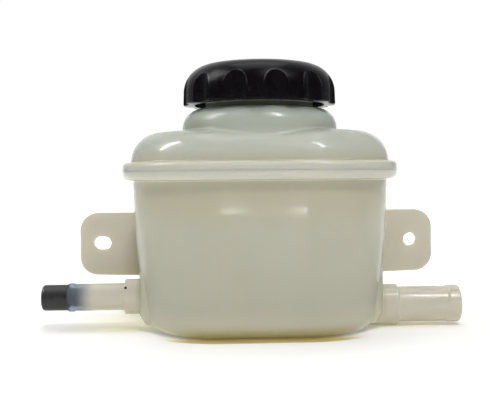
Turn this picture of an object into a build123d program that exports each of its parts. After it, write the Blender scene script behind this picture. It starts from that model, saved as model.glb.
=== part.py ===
from build123d import *
import os
from math import radians, tan

# Power steering reservoir: a welded two-piece tank with two hose nipples, two mounting ears,
# a fluted screw cap, and a strainer and a baffle inside.
# Millimetres. X runs along the tank, +Y is the mounting side, +Z is up.
# The origin is on the axis of the filler neck, in the plane of the foot.

# Plan of the tank: a stadium, that is two round ends joined by a straight spine along X
spine_half = 18.0
wall = 2.6
floor_wall = 3.0

# Lower tank: the wall leans in towards the foot below a long easy bend
tub_rim_r = 41.0
tub_lean_deg = 7.0
tub_bend_r = 318.0
foot_round_r = 8.0
rim_land = 0.26

# Weld flange that joins the two halves of the tank
flange_overhang = 4.8
flange_bottom_z = 69.1
flange_half_h = 4.05
flange_edge_r = 2.0
flange_under_edge_r = 2.6
flange_draft = 0.4
flange_root_r = 0.8
seam_bevel = 0.1

# Upper tank: dome, collar and filler neck
dome_step = 1.0
dome_lean_deg = 4.0
dome_h = 14.0
dome_round_r = 14.0
collar_lip = 0.5
collar_h = 10.9
collar_round_r = 9.2
collar_foot_r = 1.5
neck_r = 25.2
neck_wall = 2.8
neck_h = 15.6
neck_edge = 0.5
vent_notch_width = 1.6
vent_notch_depth = 0.8

# Mounting ears: flat plates level with the back of the flange, with gussets to the tub
ear_thick = 3.5
ear_end_x = 91.5
ear_top_z = 52.8
ear_tip_bottom_z = 21.0
ear_drop = 2.6
ear_corner_r = 9.3
ear_edge_r = 0.7
ear_hole_inset = 11.5
ear_hole_z = 37.1
ear_hole_d = 6.8
ear_slot_length = 8.9
ear_seat_half = 24.0
gusset_thick = 2.5
gusset_foot_x = 46.0
gusset_reach_x = 58.0

# Flat pads that the nipples stand on
pad_face_x = 56.0
pad_half_width = 15.0
pad_top_z = 28.6
pad_bottom_z = 3.4
pad_toe = 2.8
pad_toe_h = 4.2
pad_edge_r = 1.2
pad_side_r = 7.0

# Return nipple on the left, closed by a plug
return_z = 15.2
return_collar_r = 8.1
return_collar_x = 63.4
return_tube_r = 6.2
return_bead_r = 6.6
return_bead_length = 3.9
return_end_x = 89.9
return_bore_r = 4.2

# Suction nipple on the right
suction_lift = 0.1
suction_collar_r = 9.5
suction_collar_x = 63.9
suction_tube_r = 8.2
suction_bead_r = 8.6
suction_bead_length = 6.5
suction_end_x = 93.3
suction_bore_r = 6.0

# Rounding of the nipples
bead_ramp = 1.4
bead_round_r = 1.2
collar_edge_r = 0.6
collar_root_r = 1.5

# Strainer panel in guides across the tub
strainer_x = 24.0
strainer_thick = 2.4
strainer_border = 6.0
strainer_bar = 4.0
mesh_thick = 0.4
guide_thick = 1.6
guide_h = 3.0
guide_drop = 11.15
slip_gap = 0.25

# Baffle plate that lies on the guides
baffle_thick = 1.8
baffle_gap = 0.5
baffle_mouth_r = 15.0
baffle_hole_r = 1.0
baffle_hole_count = 5
baffle_hole_pitch_deg = 30.0
baffle_hole_circle_r = 27.0
post_r = 2.6
post_x = 34.0
post_y = 9.0
post_gap = 0.3

# Filler cap
cap_gap = 1.75
cap_h = 18.7
cap_draft_deg = 1.6
crown_round_r = 13.0
cap_rim_r = 0.6
cap_wall = 2.9
cap_groove_depth = 12.6
cap_groove_width = 1.5
sleeve_wall = 2.0
sleeve_gap = 1.7
sleeve_recess = 2.2
flute_count = 12
flute_depth = 2.25
flute_r = 8.8
flute_turn_deg = 5.0
flute_edge_r = 0.5
seal_thick = 1.8
seal_overlap = 0.8
seal_edge_gap = 0.6
boss_r = 5.0
boss_h = 4.0
stem_r = 2.5
stem_depth = 5.0
stem_top_gap = 0.5
running_gap = 0.05
disc_gap = 2.9
disc_thick = 1.6
disc_edge_r = 0.5

# Transit plug in the return nipple
plug_head_r = 5.94
plug_head_length = 11.6
plug_head_round_r = 1.4
plug_stem_length = 8.0
plug_nose_round_r = 1.2

# Heights and places that follow from the sizes above
flange_r = tub_rim_r + flange_overhang
dome_r = tub_rim_r + dome_step
seam_z = flange_bottom_z + flange_half_h
guide_top_z = seam_z - guide_drop
flange_top_z = seam_z + flange_half_h
dome_top_z = flange_top_z + dome_h
collar_top_z = dome_top_z + collar_h
neck_bore_r = neck_r - neck_wall
sleeve_bore_r = neck_r + sleeve_gap
sleeve_r = sleeve_bore_r + sleeve_wall
cap_skirt_inner_r = sleeve_r + cap_groove_width
flute_floor_r = cap_skirt_inner_r + cap_wall
cap_skirt_r = flute_floor_r + flute_depth
collar_r = cap_skirt_r + collar_lip
seal_inner_r = neck_bore_r - seal_overlap
seal_outer_r = sleeve_bore_r - seal_edge_gap
disc_r = neck_bore_r - disc_gap
neck_top_z = collar_top_z + neck_h
cavity_rim_r = tub_rim_r - wall
lean = tan(radians(tub_lean_deg))
bend_run = tub_bend_r * tan(radians(tub_lean_deg / 2))
bend_z = flange_bottom_z - flange_root_r - bend_run - rim_land
ear_hole_x = ear_end_x - ear_hole_inset
ear_face_y = flange_r
ear_front_y = ear_face_y - ear_thick
ear_middle_y = ear_face_y - ear_thick / 2
ear_root_y = tub_rim_r / 2
cap_bottom_z = collar_top_z + cap_gap
cap_top_z = cap_bottom_z + cap_h
ceiling_z = neck_top_z + seal_thick
boss_bottom_z = ceiling_z - boss_h
stem_top_z = boss_bottom_z + stem_depth
return_bead_x = return_end_x - return_bead_length
suction_bead_x = suction_end_x - suction_bead_length
suction_z = suction_collar_r + suction_lift
nipple_root_x = pad_face_x - pad_half_width
strainer_low_x = strainer_x - strainer_thick / 2
strainer_high_x = strainer_x + strainer_thick / 2


def half_section(points: list, radii: list) -> Sketch:
    """Closed half section in the XZ plane, x out from the axis or spine and z up, with rounded corners."""
    return Plane.XZ * make_face(FilletPolyline(*points, radius=radii, close=True))


def stadium_solid(section: Sketch) -> Part:
    """Carry a half section round the tank's plan: along both sides of the spine and round both ends."""
    end = Pos(spine_half, 0, 0) * Rot(0, 0, -90) * revolve(section, Axis.Z, 180)
    side = extrude(Pos(-spine_half, 0, 0) * Rot(0, 0, -90) * section, 2 * spine_half, dir=(1, 0, 0))
    return end + mirror(end, about=Plane.YZ) + side + mirror(side, about=Plane.XZ)


def block(x_span: tuple, y_span: tuple, z_span: tuple) -> Part:
    """Rectangular block between two limits along each axis."""
    low = (x_span[0], y_span[0], z_span[0])
    size = (x_span[1] - x_span[0], y_span[1] - y_span[0], z_span[1] - z_span[0])
    return Pos(*low) * Box(*size, align=(Align.MIN, Align.MIN, Align.MIN))


def upright(radius: float, bottom_z: float, top_z: float) -> Part:
    """Round bar on the Z axis between two heights."""
    bar = Cylinder(radius, top_z - bottom_z, align=(Align.CENTER, Align.CENTER, Align.MIN))
    return Pos(0, 0, bottom_z) * bar


def is_round(face: Face, radius: float) -> bool:
    """Whether a face is part of a round wall of that radius."""
    return face.geom_type == GeomType.CYLINDER and abs(face.radius - radius) < running_gap


def tub_space(inset: float, floor_z: float) -> Part:
    """Space inside the tub at a given inset from its outside, from a floor height up to the seam."""
    rim = tub_rim_r - inset
    foot = rim - (bend_z - floor_z) * lean
    points = [(0, floor_z), (foot, floor_z), (rim, bend_z), (rim, seam_z), (0, seam_z)]
    return stadium_solid(half_section(points, [0, foot_round_r - wall, tub_bend_r, 0, 0]))


def lying_turned(points: list, radii: list, height: float, side: int) -> Part:
    """Turn a half section about a level axis along X at a given height, on the side of +X or -X."""
    section = make_face(FilletPolyline(*points, radius=radii, close=True))
    turned = revolve(section, Axis.X, 360)
    if side < 0:
        turned = mirror(turned, about=Plane.YZ)
    return Pos(0, 0, height) * turned


def nipple(height: float, side: int, collar: tuple, tube_r: float, bead: tuple, end_x: float) -> Part:
    """Outside of a hose nipple: collar, tube and a rounded bead at the end that holds the hose."""
    collar_x, collar_r_out = collar
    bead_x, bead_r = bead
    step_r = min(collar_root_r, (collar_r_out - tube_r) / 2)
    points = [
        (nipple_root_x, 0),
        (nipple_root_x, collar_r_out),
        (collar_x, collar_r_out),
        (collar_x, tube_r),
        (bead_x, tube_r),
        (bead_x + bead_ramp, bead_r),
        (end_x, bead_r),
        (end_x, 0),
    ]
    radii = [0, 0, collar_edge_r, step_r, bead_round_r, bead_round_r, bead_round_r, 0]
    return lying_turned(points, radii, height, side)


def nipple_bore(height: float, side: int, bore_r: float, end_x: float) -> Part:
    """Bore of a nipple, from inside the tank out past its end."""
    past_x = end_x + wall
    points = [(nipple_root_x, 0), (nipple_root_x, bore_r), (past_x, bore_r), (past_x, 0)]
    return lying_turned(points, [0, 0, 0, 0], height, side)


def pad(side: int) -> Part:
    """Flat pad that a nipple stands on, with a sloped toe, well rounded sides and a crisper top edge."""
    pad_front_x = pad_face_x - pad_toe
    profile = make_face(Polyline(
        (spine_half, pad_bottom_z),
        (pad_face_x - pad_toe, pad_bottom_z),
        (pad_face_x, pad_bottom_z + pad_toe_h),
        (pad_face_x, pad_top_z),
        (spine_half, pad_top_z),
        close=True,
    ))
    body = extrude(Plane.XZ * profile, pad_half_width, both=True)
    front = body.edges().filter_by(Axis.Y, reverse=True).filter_by(lambda edge: edge.center().X > pad_front_x)
    body = fillet(front.filter_by(Axis.X, reverse=True), pad_side_r)
    top = body.faces().sort_by(Axis.Z)[-1]
    body = fillet(top.edges().filter_by(lambda edge: edge.center().X > spine_half), pad_edge_r)
    return body if side > 0 else mirror(body, about=Plane.YZ)


def ear(side: int, opening: Sketch) -> Part:
    """One mounting ear: its plate with a bolt opening, and two gussets back to the tub."""
    outline = make_face(FilletPolyline(
        (0, ear_tip_bottom_z - ear_drop),
        (ear_end_x, ear_tip_bottom_z),
        (ear_end_x, ear_top_z),
        (0, ear_top_z),
        radius=[0, ear_corner_r, ear_corner_r, 0],
        close=True,
    ))
    outline -= Pos(ear_hole_x, ear_hole_z) * opening
    plate = extrude(Pos(0, ear_face_y, 0) * (Plane.XZ * outline), ear_thick)
    rims = []
    for face in plate.faces().filter_by(Axis.Y):
        rims += face.outer_wire().edges().filter_by(lambda edge: edge.center().X > wall)
    plate = fillet(rims, ear_edge_r)
    seat = block((0, ear_seat_half), (ear_root_y, ear_face_y), (ear_tip_bottom_z, ear_top_z))
    gusset = make_face(Polyline(
        (0, ear_root_y),
        (gusset_foot_x, ear_root_y),
        (gusset_reach_x, ear_front_y),
        (gusset_reach_x, ear_middle_y),
        (0, ear_middle_y),
        close=True,
    ))
    upper = extrude(Pos(0, 0, ear_top_z - gusset_thick) * gusset, gusset_thick)
    lower = extrude(Pos(0, 0, ear_tip_bottom_z) * gusset, gusset_thick)
    body = plate + seat + upper + lower
    return body if side > 0 else mirror(body, about=Plane.YZ)


def guide_ribs() -> Part:
    """Three upright ribs round the inside of the tub: two hold the strainer, one stiffens the other end."""
    band = tub_space(wall, floor_wall)
    band -= tub_space(wall + guide_h, floor_wall + guide_h)
    deep = tub_rim_r
    rib_starts = [
        strainer_low_x - slip_gap - guide_thick,
        strainer_high_x + slip_gap,
        -strainer_x - guide_thick / 2,
    ]
    ribs = Part()
    for start in rib_starts:
        ribs += band & block((start, start + guide_thick), (-deep, deep), (0, guide_top_z))
    return ribs


def make_lower_tank() -> Part:
    """Tub with the lower half of the weld flange, ears, pads, nipples and inner guides, moulded as one."""
    foot = tub_rim_r - bend_z * lean
    points = [
        (0, 0),
        (foot, 0),
        (tub_rim_r, bend_z),
        (tub_rim_r, flange_bottom_z),
        (flange_r - flange_draft, flange_bottom_z),
        (flange_r, seam_z - seam_bevel),
        (flange_r - seam_bevel, seam_z),
        (0, seam_z),
    ]
    radii = [0, foot_round_r, tub_bend_r, flange_root_r, flange_under_edge_r, 0, 0, 0]
    tank = stadium_solid(half_section(points, radii))
    tank += ear(1, Circle(ear_hole_d / 2))
    tank += ear(-1, SlotOverall(ear_slot_length, ear_hole_d))
    tank += pad(1)
    tank += pad(-1)
    tank += nipple(suction_z, 1, (suction_collar_x, suction_collar_r), suction_tube_r,
                   (suction_bead_x, suction_bead_r), suction_end_x)
    tank += nipple(return_z, -1, (return_collar_x, return_collar_r), return_tube_r,
                   (return_bead_x, return_bead_r), return_end_x)
    tank -= tub_space(wall, floor_wall)
    tank -= nipple_bore(suction_z, 1, suction_bore_r, suction_end_x)
    tank -= nipple_bore(return_z, -1, return_bore_r, return_end_x)
    return tank + guide_ribs()


def make_upper_tank() -> Part:
    """Dome with the upper half of the weld flange, the collar and the filler neck, moulded as one."""
    dome_top_r = dome_r - dome_h * tan(radians(dome_lean_deg))
    shell = [
        (0, seam_z),
        (flange_r - seam_bevel, seam_z),
        (flange_r, seam_z + seam_bevel),
        (flange_r, flange_top_z),
        (dome_r, flange_top_z),
        (dome_top_r, dome_top_z),
        (0, dome_top_z),
    ]
    tank = stadium_solid(half_section(shell, [0, 0, 0, flange_edge_r, flange_root_r, dome_round_r, 0]))
    collar = [(0, flange_top_z), (collar_r, flange_top_z), (collar_r, collar_top_z), (0, collar_top_z)]
    tank += revolve(half_section(collar, [0, 0, collar_round_r, 0]), Axis.Z)
    collar_walls = tank.faces().filter_by(lambda face: is_round(face, collar_r))
    foot_edges = collar_walls.edges().filter_by(lambda edge: edge.center().Z < dome_top_z + rim_land)
    tank = fillet(foot_edges, collar_foot_r)
    neck = [(0, flange_top_z), (neck_r, flange_top_z), (neck_r, neck_top_z), (0, neck_top_z)]
    tank += revolve(half_section(neck, [0, 0, neck_edge, 0]), Axis.Z)
    roof_z = dome_top_z - wall
    roof_r = cavity_rim_r - (dome_top_z - seam_z) * tan(radians(dome_lean_deg))
    space = [(0, seam_z), (cavity_rim_r, seam_z), (roof_r, roof_z), (0, roof_z)]
    tank -= stadium_solid(half_section(space, [0, 0, dome_round_r - wall, 0]))
    collar_in = collar_r - wall
    collar_roof_z = collar_top_z - wall
    inside = [(0, flange_top_z), (collar_in, flange_top_z), (collar_in, collar_roof_z), (0, collar_roof_z)]
    tank -= revolve(half_section(inside, [0, 0, collar_round_r - wall, 0]), Axis.Z)
    tank -= upright(neck_bore_r, flange_top_z, neck_top_z + wall)
    notch_half = vent_notch_width / 2
    notch_floor_z = neck_top_z - vent_notch_depth
    tank -= block((-notch_half, notch_half), (0, neck_r + wall), (notch_floor_z, neck_top_z + wall))
    post = upright(post_r, guide_top_z + baffle_thick + post_gap, roof_z + wall / 2)
    for x in (-post_x, post_x):
        for y in (-post_y, post_y):
            tank += Pos(x, y, 0) * post
    return tank


def make_strainer_frame() -> Part:
    """Upright panel with four windows, its outline following the inside of the tub."""
    outline = tub_space(wall + slip_gap, floor_wall + slip_gap)
    frame = outline & block((strainer_low_x, strainer_high_x), (-tub_rim_r, tub_rim_r), (0, guide_top_z))
    windows = tub_space(wall + strainer_border, floor_wall + strainer_border)
    middle_z = (floor_wall + guide_top_z) / 2
    half_bar = strainer_bar / 2
    windows -= block((-flange_r, flange_r), (-half_bar, half_bar), (0, guide_top_z))
    windows -= block((-flange_r, flange_r), (-flange_r, flange_r), (middle_z - half_bar, middle_z + half_bar))
    return frame - (windows & block((0, flange_r), (-flange_r, flange_r), (0, guide_top_z - strainer_border)))


def make_strainer_mesh() -> Part:
    """Fine screen laid on the side of the strainer that the returning fluid meets first."""
    inside_guides = guide_h + 2 * slip_gap
    outline = tub_space(wall + inside_guides, floor_wall + inside_guides)
    x_span = (strainer_low_x - mesh_thick, strainer_low_x)
    return outline & block(x_span, (-tub_rim_r, tub_rim_r), (0, guide_top_z - guide_h))


def make_baffle_plate() -> Part:
    """Perforated plate that lies on the guides and calms the fluid under the filler neck."""
    plate_r = cavity_rim_r - baffle_gap
    plan = SlotOverall(2 * (spine_half + plate_r), 2 * plate_r) - Circle(baffle_mouth_r)
    for side in (-1, 1):
        for index in range(baffle_hole_count):
            angle = (index - (baffle_hole_count - 1) / 2) * baffle_hole_pitch_deg
            spot = Vector(baffle_hole_circle_r, 0).rotate(Axis.Z, angle)
            plan -= Pos(side * (spine_half + spot.X), spot.Y) * Circle(baffle_hole_r)
    return extrude(Pos(0, 0, guide_top_z) * plan, baffle_thick)


def make_filler_cap() -> Part:
    """Fluted screw cap: outer skirt and crown, inner sleeve for the neck, and a boss under the crown."""
    crown_r = cap_skirt_r - cap_h * tan(radians(cap_draft_deg))
    outside = [(0, cap_bottom_z), (cap_skirt_r, cap_bottom_z), (crown_r, cap_top_z), (0, cap_top_z)]
    cap = revolve(half_section(outside, [0, cap_rim_r, crown_round_r, 0]), Axis.Z)
    centre_r = flute_floor_r + flute_r
    cutter = Pos(0, -centre_r, 0) * upright(flute_r, cap_bottom_z - cap_rim_r, cap_top_z)
    for index in range(flute_count):
        turn = (index + 0.5) * 360 / flute_count - flute_turn_deg
        cap -= Rot(0, 0, turn) * cutter
    flutes = cap.faces().filter_by(lambda face: is_round(face, flute_r))
    flute_edges = flutes.edges().filter_by(lambda edge: edge.center().Z > cap_bottom_z + cap_rim_r)
    cap = fillet(flute_edges, flute_edge_r)
    sleeve_bottom_z = cap_bottom_z + sleeve_recess
    groove_top_z = cap_bottom_z + cap_groove_depth
    inside = [
        (0, cap_bottom_z),
        (cap_skirt_inner_r, cap_bottom_z),
        (cap_skirt_inner_r, groove_top_z),
        (sleeve_r, groove_top_z),
        (sleeve_r, sleeve_bottom_z),
        (sleeve_bore_r, sleeve_bottom_z),
        (sleeve_bore_r, ceiling_z),
        (boss_r, ceiling_z),
        (boss_r, boss_bottom_z),
        (stem_r + running_gap, boss_bottom_z),
        (stem_r + running_gap, stem_top_z + stem_top_gap),
        (0, stem_top_z + stem_top_gap),
    ]
    return cap - revolve(half_section(inside, [0] * len(inside)), Axis.Z)


def make_cap_seal() -> Part:
    """Flat rubber ring between the rim of the neck and the ceiling of the cap."""
    ring = [
        (seal_inner_r, neck_top_z),
        (seal_outer_r, neck_top_z),
        (seal_outer_r, ceiling_z),
        (seal_inner_r, ceiling_z),
    ]
    return revolve(half_section(ring, [0, 0, 0, 0]), Axis.Z)


def make_splash_disc() -> Part:
    """Round disc on a stem in the cap's boss, which keeps splashes off the seal."""
    disc = [
        (0, boss_bottom_z - disc_thick),
        (disc_r, boss_bottom_z - disc_thick),
        (disc_r, boss_bottom_z),
        (stem_r, boss_bottom_z),
        (stem_r, stem_top_z),
        (0, stem_top_z),
    ]
    return revolve(half_section(disc, [0, disc_edge_r, disc_edge_r, 0, 0, 0]), Axis.Z)


def make_transit_plug() -> Part:
    """Rubber plug in the return nipple: a round head outside and a stem in the bore."""
    stem_out_r = return_bore_r - running_gap
    points = [
        (return_end_x - plug_stem_length, 0),
        (return_end_x - plug_stem_length, stem_out_r),
        (return_end_x, stem_out_r),
        (return_end_x, plug_head_r),
        (return_end_x + plug_head_length, plug_head_r),
        (return_end_x + plug_head_length, 0),
    ]
    return lying_turned(points, [0, plug_nose_round_r, 0, 0, plug_head_round_r, 0], return_z, -1)


def main() -> None:
    """Build every piece and write each one to its own file."""
    os.makedirs("parts", exist_ok=True)
    pieces = {
        "lower_tank": make_lower_tank(),
        "upper_tank": make_upper_tank(),
        "strainer_frame": make_strainer_frame(),
        "strainer_mesh": make_strainer_mesh(),
        "baffle_plate": make_baffle_plate(),
        "filler_cap": make_filler_cap(),
        "cap_seal": make_cap_seal(),
        "splash_disc": make_splash_disc(),
        "transit_plug": make_transit_plug(),
    }
    for name, piece in pieces.items():
        export_step(piece, f"parts/{name}.step")


main()
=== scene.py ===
import logging
import math
from dataclasses import dataclass
from enum import Enum
from typing import Callable

import bpy
from mathutils import Matrix, Vector


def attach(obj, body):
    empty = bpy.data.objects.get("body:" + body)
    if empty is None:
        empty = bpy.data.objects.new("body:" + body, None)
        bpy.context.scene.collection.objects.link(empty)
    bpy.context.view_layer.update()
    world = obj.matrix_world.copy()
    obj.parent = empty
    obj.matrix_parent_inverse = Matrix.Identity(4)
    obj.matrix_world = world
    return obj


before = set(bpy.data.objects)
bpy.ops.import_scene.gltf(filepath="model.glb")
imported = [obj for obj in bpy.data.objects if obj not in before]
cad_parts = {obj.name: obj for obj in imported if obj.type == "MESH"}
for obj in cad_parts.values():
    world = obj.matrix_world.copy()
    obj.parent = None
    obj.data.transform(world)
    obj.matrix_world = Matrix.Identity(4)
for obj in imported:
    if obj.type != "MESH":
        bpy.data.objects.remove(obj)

LOG = logging.getLogger("reservoir")
MM = 0.001
Colour = tuple[float, float, float]
Spot = tuple[float, float, float]
Socket = bpy.types.NodeSocket
Value = float | tuple[float, ...] | Socket


class ThreadSide(Enum):
    """Which wall a thread stands on."""

    OUTSIDE = 1
    INSIDE = -1


class LampRole(Enum):
    """What a lamp does to the surfaces around it."""

    BOTH = "lights and is mirrored"
    LIGHTS = "lights only"
    MIRRORED = "is mirrored only"


class Slot(Enum):
    """Material slots of the record that the new pieces take."""

    TANK = "tank_plastic"
    CAP = "cap_plastic"


@dataclass(frozen=True)
class Mottle:
    """Soft blotches: their width, octaves of finer noise, and the span of the noise that they use."""

    size: float
    detail: float
    low: float
    high: float


@dataclass(frozen=True)
class Relief:
    """Fine relief: width of its bumps, octaves of finer noise, height, and the share that shows."""

    size: float
    detail: float
    depth: float
    strength: float


class Nodes:
    """A node tree, with short ways to add and join its nodes."""

    def __init__(self, tree: bpy.types.NodeTree) -> None:
        """Start from an empty tree.

        Args:
            tree: Node tree of a material or of the surroundings.
        """
        self.tree = tree
        self.tree.nodes.clear()

    def add(self, kind: str) -> bpy.types.Node:
        """Add a shader node of a kind."""
        return self.tree.nodes.new("ShaderNode" + kind)

    def put(self, target: Socket, value: Value) -> None:
        """Give an input a constant, or join it to an output.

        Args:
            target: Input socket.
            value: Number, tuple or output socket.
        """
        if isinstance(value, Socket):
            self.tree.links.new(value, target)
        else:
            target.default_value = value

    def axes(self, place: Socket) -> tuple[Socket, ...]:
        """Split a place into its three axes.

        Args:
            place: Vector output.

        Returns:
            X, Y and Z outputs.
        """
        node = self.add("SeparateXYZ")
        self.put(node.inputs["Vector"], place)
        return tuple(node.outputs)

    def span(self, value: Value, low: float, high: float, to_low: float = 0.0,
             to_high: float = 1.0) -> Socket:
        """Carry a value smoothly from one span to another.

        Args:
            value: Number or output.
            low: Start of its span.
            high: End of its span.
            to_low: Result at the start.
            to_high: Result at the end.

        Returns:
            Output held between the two results.
        """
        node = self.add("MapRange")
        node.interpolation_type = "SMOOTHSTEP"
        for socket, number in zip(node.inputs, (value, low, high, to_low, to_high)):
            self.put(socket, number)
        return node.outputs["Result"]

    def band(self, value: Value, start: float, full: float, fade: float, end: float) -> Socket:
        """Rise to one and fall to nothing again along a value.

        Args:
            value: Number or output.
            start: Where the rise starts.
            full: Where it is full.
            fade: Where the fall starts.
            end: Where nothing is left.

        Returns:
            Output between 0 and 1.
        """
        return self.product(self.span(value, start, full), self.span(value, end, fade))

    def calc(self, operation: str, first: Value, second: Value = 0.0) -> Socket:
        """One step of arithmetic.

        Args:
            operation: Name of the step in a Math node.
            first: Number or output.
            second: Number or output.

        Returns:
            Output with the result.
        """
        node = self.add("Math")
        node.operation = operation
        self.put(node.inputs[0], first)
        self.put(node.inputs[1], second)
        return node.outputs["Value"]

    def product(self, first: Value, *others: Value) -> Socket:
        """Multiply factors.

        Args:
            first: Number or output.
            others: More of them.

        Returns:
            Output with the product.
        """
        for other in others:
            first = self.calc("MULTIPLY", first, other)
        return first

    def length(self, first: Socket, second: Socket) -> Socket:
        """Length of the line with these two sides."""
        square = self.calc("ADD", self.product(first, first), self.product(second, second))
        return self.calc("SQRT", square)


class Shader(Nodes):
    """One node material with a Principled shader, on the coordinates of its object."""

    def __init__(self, name: str) -> None:
        """Start the material.

        Args:
            name: Name of the material.
        """
        self.material = bpy.data.materials.new(name)
        self.material.use_nodes = True
        super().__init__(self.material.node_tree)
        self.output = self.add("OutputMaterial")
        self.surface = self.add("BsdfPrincipled")
        self.put(self.output.inputs["Surface"], self.surface.outputs["BSDF"])
        self.place = self.add("TexCoord").outputs["Object"]
        self.x, self.y, self.z = self.axes(self.place)

    def set(self, **values: Value) -> None:
        """Set inputs of the Principled shader; an underscore in a name stands for a space."""
        for name, value in values.items():
            self.put(self.surface.inputs[name.replace("_", " ")], value)

    def noise(self, size: float, detail: float) -> Socket:
        """Soft noise between 0 and 1.

        Args:
            size: Width of its blotches in metres.
            detail: Octaves of finer noise.

        Returns:
            Noise output.
        """
        node = self.add("TexNoise")
        self.put(node.inputs["Vector"], self.place)
        self.put(node.inputs["Scale"], 1.0 / size)
        self.put(node.inputs["Detail"], detail)
        return node.outputs["Fac"]

    def mottle(self, blotches: Mottle, to_low: float = 0.0, to_high: float = 1.0) -> Socket:
        """Soft blotches between two results.

        Args:
            blotches: Their size and span.
            to_low: Result at the low end.
            to_high: Result at the high end.

        Returns:
            Output held between the two results.
        """
        noise = self.noise(blotches.size, blotches.detail)
        return self.span(noise, blotches.low, blotches.high, to_low, to_high)

    def bump(self, height: Socket, depth: float, strength: float, under: Socket | None = None) -> Socket:
        """Relief from a height.

        Args:
            height: Output between 0 and 1.
            depth: Height of the relief in metres.
            strength: Share of the relief that shows.
            under: Relief that it lies on.

        Returns:
            Normal output.
        """
        node = self.add("Bump")
        self.put(node.inputs["Strength"], strength)
        self.put(node.inputs["Distance"], depth)
        self.put(node.inputs["Height"], height)
        if under is not None:
            self.put(node.inputs["Normal"], under)
        return node.outputs["Normal"]

    def relief(self, kind: Relief, under: Socket | None = None) -> Socket:
        """Fine relief of a kind.

        Args:
            kind: Its size and height.
            under: Relief that it lies on.

        Returns:
            Normal output.
        """
        return self.bump(self.noise(kind.size, kind.detail), kind.depth, kind.strength, under)

    def from_spine(self, half: float) -> Socket:
        """Level distance from a line along X through the Z axis.

        Args:
            half: Half the length of the line.

        Returns:
            Distance output in metres.
        """
        past_end = self.calc("SUBTRACT", self.calc("ABSOLUTE", self.x), half)
        return self.length(self.calc("MAXIMUM", past_end, 0.0), self.y)

    def see_through(self, share: Socket, tint: Colour) -> None:
        """Let a share of the light pass straight through the surface.

        Args:
            share: Output between 0 and 1.
            tint: Colour of what passes.
        """
        clear = self.add("BsdfTransparent")
        self.put(clear.inputs["Color"], (*tint, 1.0))
        blend = self.add("MixShader")
        parts = (share, self.surface.outputs["BSDF"], clear.outputs["BSDF"])
        for socket, value in zip(blend.inputs, parts):
            self.put(socket, value)
        self.put(self.output.inputs["Surface"], blend.outputs["Shader"])

    def mix(self, factor: Value, first: Value, second: Value) -> Socket:
        """Blend two colours.

        Args:
            factor: Share of the second, as a number or output.
            first: Colour or output.
            second: Colour or output.

        Returns:
            Colour output.
        """
        node = self.add("Mix")
        node.data_type = "RGBA"
        self.put(node.inputs["Factor"], factor)
        for key, value in (("A", first), ("B", second)):
            socket = [item for item in node.inputs if item.name == key and item.type == "RGBA"][0]
            self.put(socket, value if isinstance(value, Socket) else (*value, 1.0))
        return [item for item in node.outputs if item.type == "RGBA"][0]


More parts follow.
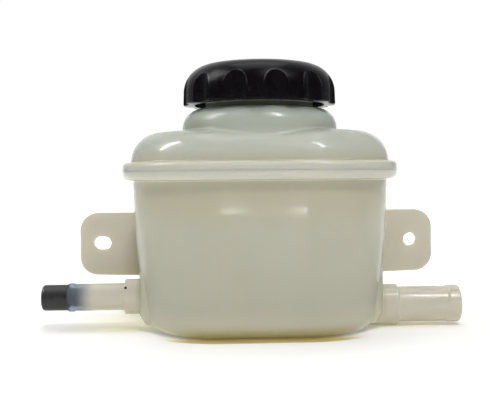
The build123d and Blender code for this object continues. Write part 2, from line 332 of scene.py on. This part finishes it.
@dataclass(frozen=True)
class TankPlastic:
    """Natural translucent plastic of the welded tank, with an ink dot on the thin nipple's collar."""

    pale: Colour = (0.490, 0.482, 0.376)
    deep: Colour = (0.474, 0.464, 0.358)
    # painted shade: a warmer, darker band of the wall below the flange, for the shadow the flange throws
    flange_shade: Colour = (0.460, 0.434, 0.318)
    upper: Colour = (0.490, 0.505, 0.434)
    # painted shade: the collar and shoulder under the black cap are darker and greener
    collar: Colour = (0.412, 0.442, 0.382)
    # painted light: the nipples, their collars and the ears are paler, standing in for light shining
    # through their thin walls
    thin: Colour = (0.610, 0.578, 0.484)
    # painted light: the outer edge of the flange is lighter, where it catches the light
    flange_edge_light: Colour = (0.570, 0.560, 0.468)
    # painted light: the foot is lighter, standing in for light that glows through the translucent
    # plastic into its shade
    foot: Colour = (0.600, 0.580, 0.450)
    # painted shade: dark band at the root of the neck, in the gap under the cap
    neck_shade: Colour = (0.105, 0.106, 0.074)
    clear: Colour = (0.44, 0.49, 0.56)
    clear_tint: Colour = (0.53, 0.57, 0.63)
    ink: Colour = (0.012, 0.012, 0.016)
    scatter: Colour = (1.0, 0.86, 0.52)
    scatter_scale: float = 4.0 * MM
    spine_half: float = 18.0 * MM
    foot_from_z: float = 16.0 * MM
    foot_full_z: float = 2.0 * MM
    flange_shade_from_z: float = 46.0 * MM
    flange_shade_full_z: float = 58.0 * MM
    flange_shade_fade_z: float = 63.0 * MM
    flange_shade_end_z: float = 69.0 * MM
    ear_top_z: float = 66.0 * MM
    flange_low_z: float = 68.0 * MM
    flange_edge_from_r: float = 42.6 * MM
    flange_edge_full_r: float = 44.2 * MM
    seam_z: float = 73.0 * MM
    shoulder_z: float = 84.0 * MM
    collar_from_z: float = 88.0 * MM
    collar_full_z: float = 93.0 * MM
    neck_shade_from_z: float = 101.0 * MM
    neck_shade_full_z: float = 102.2 * MM
    neck_shade_fade_z: float = 103.6 * MM
    neck_shade_end_z: float = 105.0 * MM
    thin_from_x: float = 60.0 * MM
    thin_full_x: float = 66.0 * MM
    pipe_from_x: float = 56.5 * MM
    pipe_full_x: float = 58.5 * MM
    pipe_half_width: float = 12.0 * MM
    pipe_top_z: float = 24.0 * MM
    pipe_fade: float = 3.0 * MM
    clear_from_x: float = -77.0 * MM
    clear_full_x: float = -86.5 * MM
    clear_share: float = 0.82
    dot_x: float = -62.6 * MM
    dot_z: float = 20.1 * MM
    dot_r: float = 0.62 * MM
    dot_soft: float = 0.08 * MM
    dot_front_y: float = -1.0 * MM
    cloud: Mottle = Mottle(26.0 * MM, 3.0, 0.3, 0.7)
    sheen: Mottle = Mottle(9.0 * MM, 4.0, 0.25, 0.75)
    waves: Relief = Relief(30.0 * MM, 0.0, 0.20 * MM, 0.25)
    peel: Relief = Relief(1.3 * MM, 2.0, 0.015 * MM, 0.2)
    smooth: float = 0.075
    rough: float = 0.155
    ior: float = 1.5
    specular: float = 0.33

    def thin_wall_glow_share(self, shader: Shader) -> Socket:
        """Where painted light makes the thin walls paler, standing in for light shining through them:
        both nipples with their collars, and the ears.

        Args:
            shader: Material that it is for.

        Returns:
            Output between 0 and 1.
        """
        aside = shader.calc("ABSOLUTE", shader.x)
        across = shader.calc("ABSOLUTE", shader.y)
        narrow = shader.span(across, self.pipe_half_width + self.pipe_fade, self.pipe_half_width)
        low = shader.span(shader.z, self.pipe_top_z + self.pipe_fade, self.pipe_top_z)
        pipe = shader.product(narrow, low, shader.span(aside, self.pipe_from_x, self.pipe_full_x))
        return shader.calc("MAXIMUM", pipe, shader.span(aside, self.thin_from_x, self.thin_full_x))

    def body_tone(self, shader: Shader) -> Socket:
        """Colour of the plastic from the foot up to the neck, with painted shade and painted light in
        bands.

        Args:
            shader: Material that it is for.

        Returns:
            Colour output.
        """
        # painted shade in a band below the flange
        flange_shade_share = shader.band(shader.z, self.flange_shade_from_z, self.flange_shade_full_z,
                            self.flange_shade_fade_z, self.flange_shade_end_z)
        edge = shader.span(shader.from_spine(self.spine_half), self.flange_edge_from_r, self.flange_edge_full_r)
        above_ears = shader.span(shader.z, self.ear_top_z, self.flange_low_z)
        # painted shade at the neck's root under the cap
        neck_shade = shader.band(shader.z, self.neck_shade_from_z, self.neck_shade_full_z,
                            self.neck_shade_fade_z, self.neck_shade_end_z)
        layers = (
            # painted shade below the flange
            (flange_shade_share, self.flange_shade),
            (shader.span(shader.z, self.seam_z, self.shoulder_z), self.upper),
            # painted shade on the collar under the cap
            (shader.span(shader.z, self.collar_from_z, self.collar_full_z), self.collar),
            # painted light on the foot
            (shader.span(shader.z, self.foot_from_z, self.foot_full_z), self.foot),
            # painted light on the flange's outer edge
            (shader.product(edge, above_ears), self.flange_edge_light),
            # painted light on the thin walls
            (self.thin_wall_glow_share(shader), self.thin),
            # painted shade at the neck's root
            (neck_shade, self.neck_shade),
        )
        tone = shader.mix(shader.mottle(self.cloud), self.deep, self.pale)
        for share, colour in layers:
            tone = shader.mix(share, tone, colour)
        return tone

    def ink_dot(self, shader: Shader) -> Socket:
        """Round dot of ink on the front of the thin nipple's collar.

        Args:
            shader: Material that it is for.

        Returns:
            Output between 0 and 1.
        """
        off_x = shader.calc("SUBTRACT", shader.x, self.dot_x)
        off_z = shader.calc("SUBTRACT", shader.z, self.dot_z)
        away = shader.length(off_x, off_z)
        disc = shader.span(away, self.dot_r + self.dot_soft, self.dot_r - self.dot_soft)
        return shader.product(disc, shader.span(shader.y, 0.0, self.dot_front_y))

    def make(self, name: str, clear_end: bool = False) -> bpy.types.Material:
        """Make the plastic.

        Args:
            name: Name of the material.
            clear_end: True for the faces of the thin nipple, whose end lets the plug's stem show.

        Returns:
            The finished material.
        """
        shader = Shader(name)
        tone = self.body_tone(shader)
        if clear_end:
            clear = shader.span(shader.x, self.clear_from_x, self.clear_full_x)
            tone = shader.mix(clear, tone, self.clear)
            shader.see_through(shader.product(clear, self.clear_share), self.clear_tint)
        tone = shader.mix(self.ink_dot(shader), tone, self.ink)
        relief = shader.relief(self.peel, shader.relief(self.waves))
        roughness = shader.mottle(self.sheen, self.smooth, self.rough)
        shader.set(Base_Color=tone, Roughness=roughness, Normal=relief)
        shader.set(IOR=self.ior, Specular_IOR_Level=self.specular)
        shader.set(Subsurface_Weight=1.0, Subsurface_Radius=self.scatter)
        shader.set(Subsurface_Scale=self.scatter_scale)
        shader.surface.subsurface_method = "BURLEY"
        return shader.material


@dataclass(frozen=True)
class InnerPlastic:
    """Plain natural plastic of the pieces inside."""

    tone: Colour = (0.62, 0.61, 0.54)
    dull: Colour = (0.558, 0.549, 0.486)
    scatter: Colour = (1.0, 0.9, 0.7)
    scatter_share: float = 0.6
    scatter_scale: float = 1.2 * MM
    cloud: Mottle = Mottle(8.0 * MM, 3.0, 0.3, 0.7)
    grain: Relief = Relief(0.9 * MM, 3.0, 0.02 * MM, 0.3)
    rough: float = 0.45

    def make(self) -> bpy.types.Material:
        """Make the finish.

        Returns:
            The finished material.
        """
        shader = Shader("inner_plastic")
        tone = shader.mix(shader.mottle(self.cloud), self.dull, self.tone)
        shader.set(Base_Color=tone, Roughness=self.rough, Normal=shader.relief(self.grain))
        shader.set(Subsurface_Weight=self.scatter_share, Subsurface_Radius=self.scatter)
        shader.set(Subsurface_Scale=self.scatter_scale)
        return shader.material


@dataclass(frozen=True)
class NylonScreen:
    """Fine woven screen: threads both ways, over and under."""

    tone: Colour = (0.66, 0.65, 0.57)
    gap_tone: Colour = (0.16, 0.155, 0.13)
    pitch: float = 0.9 * MM
    thread_depth: float = 0.12 * MM
    thread_strength: float = 0.8
    gap_level: float = -0.2
    thread_level: float = 0.5
    rough: float = 0.5

    def make(self) -> bpy.types.Material:
        """Make the finish.

        Returns:
            The finished material.
        """
        shader = Shader("nylon_screen")
        per_metre = 2 * math.pi / self.pitch
        warp = shader.calc("SINE", shader.product(shader.y, per_metre))
        weft = shader.calc("SINE", shader.product(shader.z, per_metre))
        threads = shader.calc("MAXIMUM", warp, weft)
        relief = shader.bump(shader.span(threads, -1.0, 1.0), self.thread_depth, self.thread_strength)
        shade = shader.span(threads, self.gap_level, self.thread_level)
        tone = shader.mix(shade, self.gap_tone, self.tone)
        shader.set(Base_Color=tone, Roughness=self.rough, Normal=relief)
        return shader.material


@dataclass(frozen=True)
class CapPlastic:
    """Black moulded plastic with a satin gloss, and a painted highlight along the upper edges of the
    flutes.
    """

    tone: Colour = (0.0025, 0.0019, 0.0033)
    worn: Colour = (0.0042, 0.0036, 0.0051)
    # painted highlight: light from above reflected along the flutes' upper edges
    flute_edge_highlight: Colour = (0.044, 0.043, 0.048)
    flute_count: int = 12
    flute_first_deg: float = 10.0
    flute_axis_r: float = 42.1 * MM
    flute_r: float = 8.8 * MM
    edge_start: float = 0.05 * MM
    edge_full: float = 0.18 * MM
    edge_fade: float = 0.34 * MM
    edge_end: float = 0.75 * MM
    highlight_from_z: float = 108.5 * MM
    highlight_full_z: float = 114.0 * MM
    least_highlight: float = 0.12
    patches: Mottle = Mottle(6.0 * MM, 2.0, 0.40, 0.60)
    cloud: Mottle = Mottle(7.0 * MM, 5.0, 0.35, 0.75)
    sheen: Mottle = Mottle(4.0 * MM, 4.0, 0.3, 0.7)
    grain: Relief = Relief(0.45 * MM, 2.0, 0.012 * MM, 0.35)
    waves: Relief = Relief(12.0 * MM, 1.0, 0.10 * MM, 0.3)
    smooth: float = 0.19
    rough: float = 0.29
    ior: float = 1.5
    specular: float = 0.12

    def flute_edge_highlight_share(self, shader: Shader) -> Socket:
        """Share of the painted highlight along the upper edges of the flutes, strongest near the top.

        Args:
            shader: Material that it is for.

        Returns:
            Output between 0 and 1.
        """
        bearing = shader.calc("ARCTAN2", shader.y, shader.x)
        turn = shader.calc("SUBTRACT", bearing, math.radians(self.flute_first_deg))
        aside = shader.calc("PINGPONG", turn, math.pi / self.flute_count)
        reach = shader.length(shader.x, shader.y)
        along = shader.product(reach, shader.calc("COSINE", aside))
        across = shader.product(reach, shader.calc("SINE", aside))
        to_axis = shader.length(shader.calc("SUBTRACT", along, self.flute_axis_r), across)
        past = shader.calc("SUBTRACT", to_axis, self.flute_r)
        edge = shader.band(past, self.edge_start, self.edge_full, self.edge_fade, self.edge_end)
        high = shader.span(shader.z, self.highlight_from_z, self.highlight_full_z)
        return shader.product(edge, high, shader.mottle(self.patches, self.least_highlight))

    def make(self) -> bpy.types.Material:
        """Make the finish.

        Returns:
            The finished material.
        """
        shader = Shader("cap_plastic")
        black = shader.mix(shader.mottle(self.cloud), self.tone, self.worn)
        # painted highlight along the flutes' upper edges
        tone = shader.mix(self.flute_edge_highlight_share(shader), black, self.flute_edge_highlight)
        relief = shader.relief(self.waves, shader.relief(self.grain))
        roughness = shader.mottle(self.sheen, self.smooth, self.rough)
        shader.set(Base_Color=tone, Roughness=roughness, Normal=relief)
        shader.set(IOR=self.ior, Specular_IOR_Level=self.specular)
        return shader.material


@dataclass(frozen=True)
class BlackRubber:
    """Soft black rubber of the plug and the seal, slightly dusty."""

    tone: Colour = (0.0120, 0.0115, 0.0135)
    dust: Colour = (0.0260, 0.0250, 0.0270)
    cloud: Mottle = Mottle(3.0 * MM, 5.0, 0.4, 0.8)
    grain: Relief = Relief(0.6 * MM, 3.0, 0.03 * MM, 0.4)
    rough: float = 0.42
    ior: float = 1.5

    def make(self) -> bpy.types.Material:
        """Make the finish.

        Returns:
            The finished material.
        """
        shader = Shader("black_rubber")
        tone = shader.mix(shader.mottle(self.cloud), self.tone, self.dust)
        shader.set(Base_Color=tone, Roughness=self.rough, IOR=self.ior, Normal=shader.relief(self.grain))
        return shader.material


@dataclass(frozen=True)
class PaleFloor:
    """Plain white studio floor, with a painted warm shadow and painted glow where the translucent foot
    throws its light, and painted yellowish light behind the tank.
    """

    tone: Colour = (0.94, 0.94, 0.93)
    dull: Colour = (0.9306, 0.9306, 0.9207)
    # painted shadow under the overhanging foot, tinted by the warm light that passes through the tank
    warm: Colour = (0.54, 0.43, 0.14)
    # painted yellowish shade and light that the tank throws on the floor beside and behind it
    halo: Colour = (0.94, 0.88, 0.60)
    plain_light: Colour = (1.0, 1.0, 0.995)
    # painted warm glow of the floor under the foot
    warm_light: Colour = (1.0, 0.80, 0.24)
    warm_glow: float = 0.09
    near_glow: float = 0.19
    far_glow: float = 0.76
    glow_from: float = 0.10
    glow_to: float = 0.60
    spine_half: float = 18.0 * MM
    warm_from_r: float = 41.6 * MM
    warm_full_r: float = 38.0 * MM
    warm_end_x: float = 54.0 * MM
    warm_mid_x: float = 30.0 * MM
    warm_side_y: float = -20.0 * MM
    warm_front_y: float = -34.0 * MM
    halo_from_r: float = 85.0 * MM
    halo_full_r: float = 44.0 * MM
    halo_front_y: float = -16.0 * MM
    halo_back_y: float = -2.0 * MM
    cloud: Mottle = Mottle(0.4, 2.0, 0.3, 0.7)
    rough: float = 0.6

    def make(self) -> bpy.types.Material:
        """Make the finish.

        Returns:
            The finished material.
        """
        shader = Shader("pale_floor")
        away = shader.from_spine(self.spine_half)
        aside = shader.calc("ABSOLUTE", shader.x)
        # painted warm shadow and glow under the foot
        warmth = shader.product(shader.span(away, self.warm_from_r, self.warm_full_r),
                                shader.span(aside, self.warm_end_x, self.warm_mid_x),
                                shader.span(shader.y, self.warm_side_y, self.warm_front_y))
        # painted yellowish shade and light beside and behind the tank
        halo = shader.product(shader.span(away, self.halo_from_r, self.halo_full_r),
                              shader.span(shader.y, self.halo_front_y, self.halo_back_y))
        plain = shader.mix(shader.mottle(self.cloud), self.dull, self.tone)
        tone = shader.mix(warmth, shader.mix(halo, plain, self.halo), self.warm)
        glow = shader.span(away, self.glow_from, self.glow_to, self.near_glow, self.far_glow)
        past_foot = shader.product(glow, shader.calc("SUBTRACT", 1.0, warmth))
        under_foot = shader.product(warmth, self.warm_glow)
        shader.set(Base_Color=tone, Roughness=self.rough)
        shader.set(Emission_Color=shader.mix(warmth, self.plain_light, self.warm_light))
        shader.set(Emission_Strength=shader.calc("ADD", past_foot, under_foot))
        return shader.material


def select_where(piece: bpy.types.Object, test: Callable[[bpy.types.MeshVertex], bool]) -> None:
    """Select the vertices of a mesh that pass a test, and leave it in edit mode.

    Args:
        piece: Active mesh object.
        test: Takes a vertex and says whether it is selected.
    """
    bpy.ops.object.mode_set(mode="EDIT")
    bpy.ops.mesh.select_mode(type="VERT")
    bpy.ops.mesh.select_all(action="DESELECT")
    bpy.ops.object.mode_set(mode="OBJECT")
    for vertex in piece.data.vertices:
        vertex.select = test(vertex)
    bpy.ops.object.mode_set(mode="EDIT")


def dress(name: str, material: bpy.types.Material) -> None:
    """Give a carried-over CAD node its finish.

    Args:
        name: Name of the node.
        material: Finish for all its faces.
    """
    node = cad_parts[name]
    if node.material_slots:
        for entry in node.material_slots:
            entry.material = material
    else:
        node.data.materials.append(material)
    LOG.info("dressed %s with %s", name, material.name)


@dataclass
class ThreadRidge:
    """One coarse thread ridge on a round wall about the Z axis."""

    name: str
    side: ThreadSide
    wall_r: float
    crest_r: float
    start_z: float
    lead: float = 5.0 * MM
    turns: float = 1.6
    base_width: float = 2.3 * MM
    crest_width: float = 0.9 * MM
    crest_reach: float = 0.25
    sink: float = 0.15 * MM
    steps: int = 110
    run_out: int = 9
    run_out_start: float = 0.3
    section_points: int = 4
    edge_round: float = 0.22 * MM
    edge_segments: int = 2
    edge_angle_deg: float = 35.0
    smooth_angle_deg: float = 40.0

    @property
    def root_r(self) -> float:
        """Radius of the ridge's root, sunk a little into the wall."""
        return self.wall_r - self.side.value * self.sink

    def on_crest(self, radius: float) -> bool:
        """Say whether a radius belongs to the crest and not to the root."""
        return abs(radius - self.crest_r) < abs(self.crest_r - self.root_r) * self.crest_reach

    def build(self) -> bpy.types.Object:
        """Model the ridge.

        Returns:
            The new piece, with its place in its mesh.
        """
        ridge = self.draw_section()
        self.turn_up(ridge)
        self.taper(ridge)
        self.close(ridge)
        return ridge

    def draw_section(self) -> bpy.types.Object:
        """Draw the ridge's section, wide at the root and narrow at the crest.

        Returns:
            The new piece, still flat.
        """
        height = abs(self.crest_r - self.root_r)
        bpy.ops.object.select_all(action="DESELECT")
        bpy.ops.mesh.primitive_plane_add(size=1, location=(0, 0, 0))
        ridge = bpy.context.active_object
        ridge.name = self.name
        bpy.ops.object.mode_set(mode="EDIT")
        bpy.ops.mesh.select_all(action="SELECT")
        bpy.ops.transform.rotate(value=math.pi / 2, orient_axis="X", center_override=(0, 0, 0))
        bpy.ops.transform.resize(value=(height, 1, self.base_width), center_override=(0, 0, 0))
        bpy.ops.transform.translate(value=((self.root_r + self.crest_r) / 2, 0, self.start_z))
        select_where(ridge, lambda vertex: self.on_crest(vertex.co.x))
        bpy.ops.transform.resize(value=(1, 1, self.crest_width / self.base_width),
                                 center_override=(self.crest_r, 0, self.start_z))
        bpy.ops.object.mode_set(mode="OBJECT")
        return ridge

    def turn_up(self, ridge: bpy.types.Object) -> None:
        """Wind the section up a right-hand screw line.

        Args:
            ridge: Piece with the flat section.
        """
        bpy.ops.object.modifier_add(type="SCREW")
        screw = ridge.modifiers[-1]
        screw.axis = "Z"
        screw.angle = self.turns * 2 * math.pi
        screw.screw_offset = self.turns * self.lead
        screw.steps = self.steps
        screw.render_steps = self.steps
        bpy.ops.object.modifier_apply(modifier=screw.name)

    def taper(self, ridge: bpy.types.Object) -> None:
        """Let both ends of the ridge run out into the wall.

        Args:
            ridge: Piece with the wound ridge.
        """
        rings = len(ridge.data.vertices) // self.section_points
        for ring in range(self.run_out):
            share = (ring + self.run_out_start) / self.run_out
            factor = (self.root_r + (self.crest_r - self.root_r) * share) / self.crest_r
            for place in (ring, rings - 1 - ring):
                select_where(ridge, lambda vertex: vertex.index // self.section_points == place
                             and self.on_crest(math.hypot(vertex.co.x, vertex.co.y)))
                bpy.ops.transform.resize(value=(factor, factor, 1), center_override=(0, 0, 0))
        bpy.ops.object.mode_set(mode="OBJECT")

    def close(self, ridge: bpy.types.Object) -> None:
        """Cap the ends, round the crest and smooth the ridge.

        Args:
            ridge: Piece with the tapered ridge.
        """
        bpy.ops.object.mode_set(mode="EDIT")
        bpy.ops.mesh.select_all(action="SELECT")
        bpy.ops.mesh.fill_holes(sides=0)
        bpy.ops.mesh.normals_make_consistent(inside=False)
        bpy.ops.object.mode_set(mode="OBJECT")
        bpy.ops.object.modifier_add(type="BEVEL")
        bevel = ridge.modifiers[-1]
        bevel.width = self.edge_round
        bevel.segments = self.edge_segments
        bevel.limit_method = "ANGLE"
        bevel.angle_limit = math.radians(self.edge_angle_deg)
        bpy.ops.object.modifier_apply(modifier=bevel.name)
        bpy.ops.object.shade_smooth_by_angle(angle=math.radians(self.smooth_angle_deg))
        ridge.select_set(False)


@dataclass
class Tank:
    """Welded tank: both halves in one plastic, and the thread of the filler neck."""

    neck_r: float = 25.2 * MM
    thread_crest_r: float = 26.75 * MM
    thread_start_z: float = 105.4 * MM
    nipple_past_x: float = -70.0 * MM
    nipple_half_width: float = 12.0 * MM
    nipple_below_z: float = 30.0 * MM
    finish: TankPlastic = TankPlastic()

    def clear_nipple(self) -> None:
        """Give the faces of the thin nipple the plastic with the clear end."""
        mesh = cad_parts["lower_tank"].data
        mesh.materials.append(self.finish.make("tank_plastic_clear_end", clear_end=True))
        clear_index = len(mesh.materials) - 1
        for face in mesh.polygons:
            spots = [mesh.vertices[index].co for index in face.vertices]
            low = max(spot.z for spot in spots) < self.nipple_below_z
            narrow = max(abs(spot.y) for spot in spots) < self.nipple_half_width
            if low and narrow and min(spot.x for spot in spots) < self.nipple_past_x:
                face.material_index = clear_index
        LOG.info("cleared the end of the thin nipple")

    def build(self) -> None:
        """Dress both halves and add the neck's thread."""
        material = self.finish.make("tank_plastic")
        for name in ("lower_tank", "upper_tank"):
            dress(name, material)
        self.clear_nipple()
        thread = ThreadRidge("neck_thread", ThreadSide.OUTSIDE, self.neck_r, self.thread_crest_r,
                             self.thread_start_z).build()
        thread.data.materials.append(material)
        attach(thread, "tank")
        LOG.info("built %s", thread.name)


@dataclass
class InnerFittings:
    """Strainer, screen and baffle inside the tank, and the splash disc under the cap."""

    plastic: InnerPlastic = InnerPlastic()
    screen: NylonScreen = NylonScreen()

    def build(self) -> None:
        """Dress the inner pieces."""
        material = self.plastic.make()
        for name in ("strainer_frame", "baffle_plate", "splash_disc"):
            dress(name, material)
        dress("strainer_mesh", self.screen.make())


@dataclass
class FillerCap:
    """Screw cap and the thread in its sleeve, shallow enough to pass the seal."""

    sleeve_bore_r: float = 26.9 * MM
    thread_crest_r: float = 26.38 * MM
    thread_start_z: float = 107.9 * MM
    thread_turns: float = 1.4
    finish: CapPlastic = CapPlastic()

    def build(self) -> None:
        """Dress the cap and add the thread inside its sleeve."""
        material = self.finish.make()
        dress("filler_cap", material)
        thread = ThreadRidge("cap_thread", ThreadSide.INSIDE, self.sleeve_bore_r, self.thread_crest_r,
                             self.thread_start_z, turns=self.thread_turns).build()
        thread.data.materials.append(material)
        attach(thread, "cap")
        LOG.info("built %s", thread.name)


@dataclass
class RubberPieces:
    """The plug in the return nipple and the seal under the cap."""

    finish: BlackRubber = BlackRubber()

    def build(self) -> None:
        """Dress both pieces."""
        material = self.finish.make()
        for name in ("transit_plug", "cap_seal"):
            dress(name, material)


@dataclass
class Panel:
    """One lamp: a flat panel that faces the tank."""

    name: str
    place: Spot
    width: float
    height: float
    power: float
    role: LampRole = LampRole.BOTH
    aim: Spot = (0.0, 0.0, 60 * MM)

    def build(self) -> None:
        """Hang the lamp."""
        light = bpy.data.lights.new(self.name, "AREA")
        light.shape = "RECTANGLE"
        light.size = self.width
        light.size_y = self.height
        light.energy = self.power
        lamp = bpy.data.objects.new(self.name, light)
        bpy.context.scene.collection.objects.link(lamp)
        gaze = Vector(self.aim) - Vector(self.place)
        turn = gaze.to_track_quat("-Z", "Y").to_matrix().to_4x4()
        lamp.matrix_world = Matrix.Translation(self.place) @ turn
        lamp.visible_camera = False
        lamp.visible_diffuse = self.role is not LampRole.MIRRORED
        lamp.visible_glossy = self.role is not LampRole.LIGHTS
        LOG.info("hung %s", self.name)


@dataclass
class Room:
    """Surroundings: white behind the tank, darker on the camera's side and at both ends."""

    front_y: float = -0.50
    back_y: float = 0.90
    front_level: float = 0.20
    back_level: float = 0.85
    middle_x: float = 0.20
    end_x: float = 0.80
    end_level: float = 0.42
    colour: Colour = (1.0, 1.0, 1.0)

    def build(self) -> None:
        """Set the surroundings."""
        world = bpy.data.worlds.new("studio")
        bpy.context.scene.world = world
        world.use_nodes = True
        nodes = Nodes(world.node_tree)
        x, y, _ = nodes.axes(nodes.add("TexCoord").outputs["Generated"])
        depth = nodes.span(y, self.front_y, self.back_y, self.front_level, self.back_level)
        aside = nodes.calc("ABSOLUTE", x)
        ends = nodes.span(aside, self.middle_x, self.end_x, 1.0, self.end_level)
        backdrop = nodes.add("LightPath").outputs["Is Camera Ray"]
        shade = nodes.add("Background")
        nodes.put(shade.inputs["Color"], (*self.colour, 1.0))
        nodes.put(shade.inputs["Strength"], nodes.calc("MAXIMUM", nodes.product(depth, ends), backdrop))
        nodes.put(nodes.add("OutputWorld").inputs["Surface"], shade.outputs["Background"])
        LOG.info("set the room")


@dataclass
class PhotoCamera:
    """Camera where the photo was taken from."""

    distance: float = 390 * MM
    eye_height: float = 69.4 * MM
    turn_deg: float = 2.4
    roll_deg: float = 0.6
    focal_px: float = 830.0
    axis_px: float = 260.1
    horizon_px: float = 179.0
    frame_px: tuple[int, int] = (500, 400)
    sensor: float = 36.0
    nearest: float = 0.01

    def build(self) -> None:
        """Stand the camera and aim it."""
        width, height = self.frame_px
        data = bpy.data.cameras.new("photo_camera")
        data.sensor_fit = "HORIZONTAL"
        data.sensor_width = self.sensor
        data.lens = self.focal_px / width * self.sensor
        data.shift_x = (width / 2 - self.axis_px) / width
        data.shift_y = (self.horizon_px - height / 2) / width
        data.clip_start = self.nearest
        data.dof.use_dof = False
        camera = bpy.data.objects.new("photo_camera", data)
        scene = bpy.context.scene
        scene.collection.objects.link(camera)
        turn = math.radians(self.turn_deg)
        spot = (-self.distance * math.sin(turn), -self.distance * math.cos(turn), self.eye_height)
        level = Matrix.Rotation(-turn, 4, "Z") @ Matrix.Rotation(math.pi / 2, 4, "X")
        roll = Matrix.Rotation(-math.radians(self.roll_deg), 4, "Z")
        camera.matrix_world = Matrix.Translation(spot) @ level @ roll
        scene.camera = camera
        scene.view_settings.view_transform = "Standard"
        LOG.info("aimed %s", camera.name)


@dataclass
class Studio:
    """Floor, lamps, surroundings and camera."""

    floor_size: float = 12.0
    left: Spot = (-0.84, 0.024, 0.852)
    right: Spot = (0.384, -0.552, 0.996)
    finish: PaleFloor = PaleFloor()

    def build(self) -> None:
        """Set up the whole studio."""
        self.lay_floor()
        for lamp in self.lamps():
            lamp.build()
        Room().build()
        PhotoCamera().build()

    def lay_floor(self) -> None:
        """Lay the pale floor in the plane of the foot."""
        bpy.ops.object.select_all(action="DESELECT")
        bpy.ops.mesh.primitive_plane_add(size=self.floor_size, location=(0, 0, 0))
        floor = bpy.context.active_object
        floor.name = "floor"
        floor.data.materials.append(self.finish.make())
        LOG.info("laid %s", floor.name)

    def lamps(self) -> list[Panel]:
        """List the lamps whose light and reflections the photo shows.

        Returns:
            Lamps, not yet hung.
        """
        mirrored = LampRole.MIRRORED
        return [
            Panel("soft_left", self.left, width=0.60, height=0.60, power=2.2),
            Panel("soft_right", self.right, width=0.60, height=0.60, power=2.2),
            Panel("window_left", self.left, width=0.08, height=0.50, power=8.0, role=mirrored),
            Panel("window_right", self.right, width=0.11, height=0.45, power=6.5, role=mirrored),
            Panel("overhead", (0.0, 0.15, 1.5), width=0.9, height=0.9, power=4.5),
            Panel("front_top", (0.05, -0.80, 1.10), width=0.15, height=0.15, power=5.2,
                  role=LampRole.LIGHTS),
            Panel("glint_left", (-9 * MM, -438 * MM, 11 * MM), width=20 * MM, height=5 * MM,
                  power=0.0085, role=mirrored, aim=(-13 * MM, -41 * MM, 56 * MM)),
            Panel("glint_right", (54 * MM, -437 * MM, 11 * MM), width=17 * MM, height=5 * MM,
                  power=0.0105, role=mirrored, aim=(18 * MM, -41 * MM, 56 * MM)),
        ]


def main() -> None:
    """Build the studio and every sub-assembly."""
    logging.basicConfig(level=logging.INFO, format="%(message)s")
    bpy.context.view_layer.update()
    Studio().build()
    for assembly in (Tank(), InnerFittings(), FillerCap(), RubberPieces()):
        assembly.build()


if __name__ == "__main__":
    main()
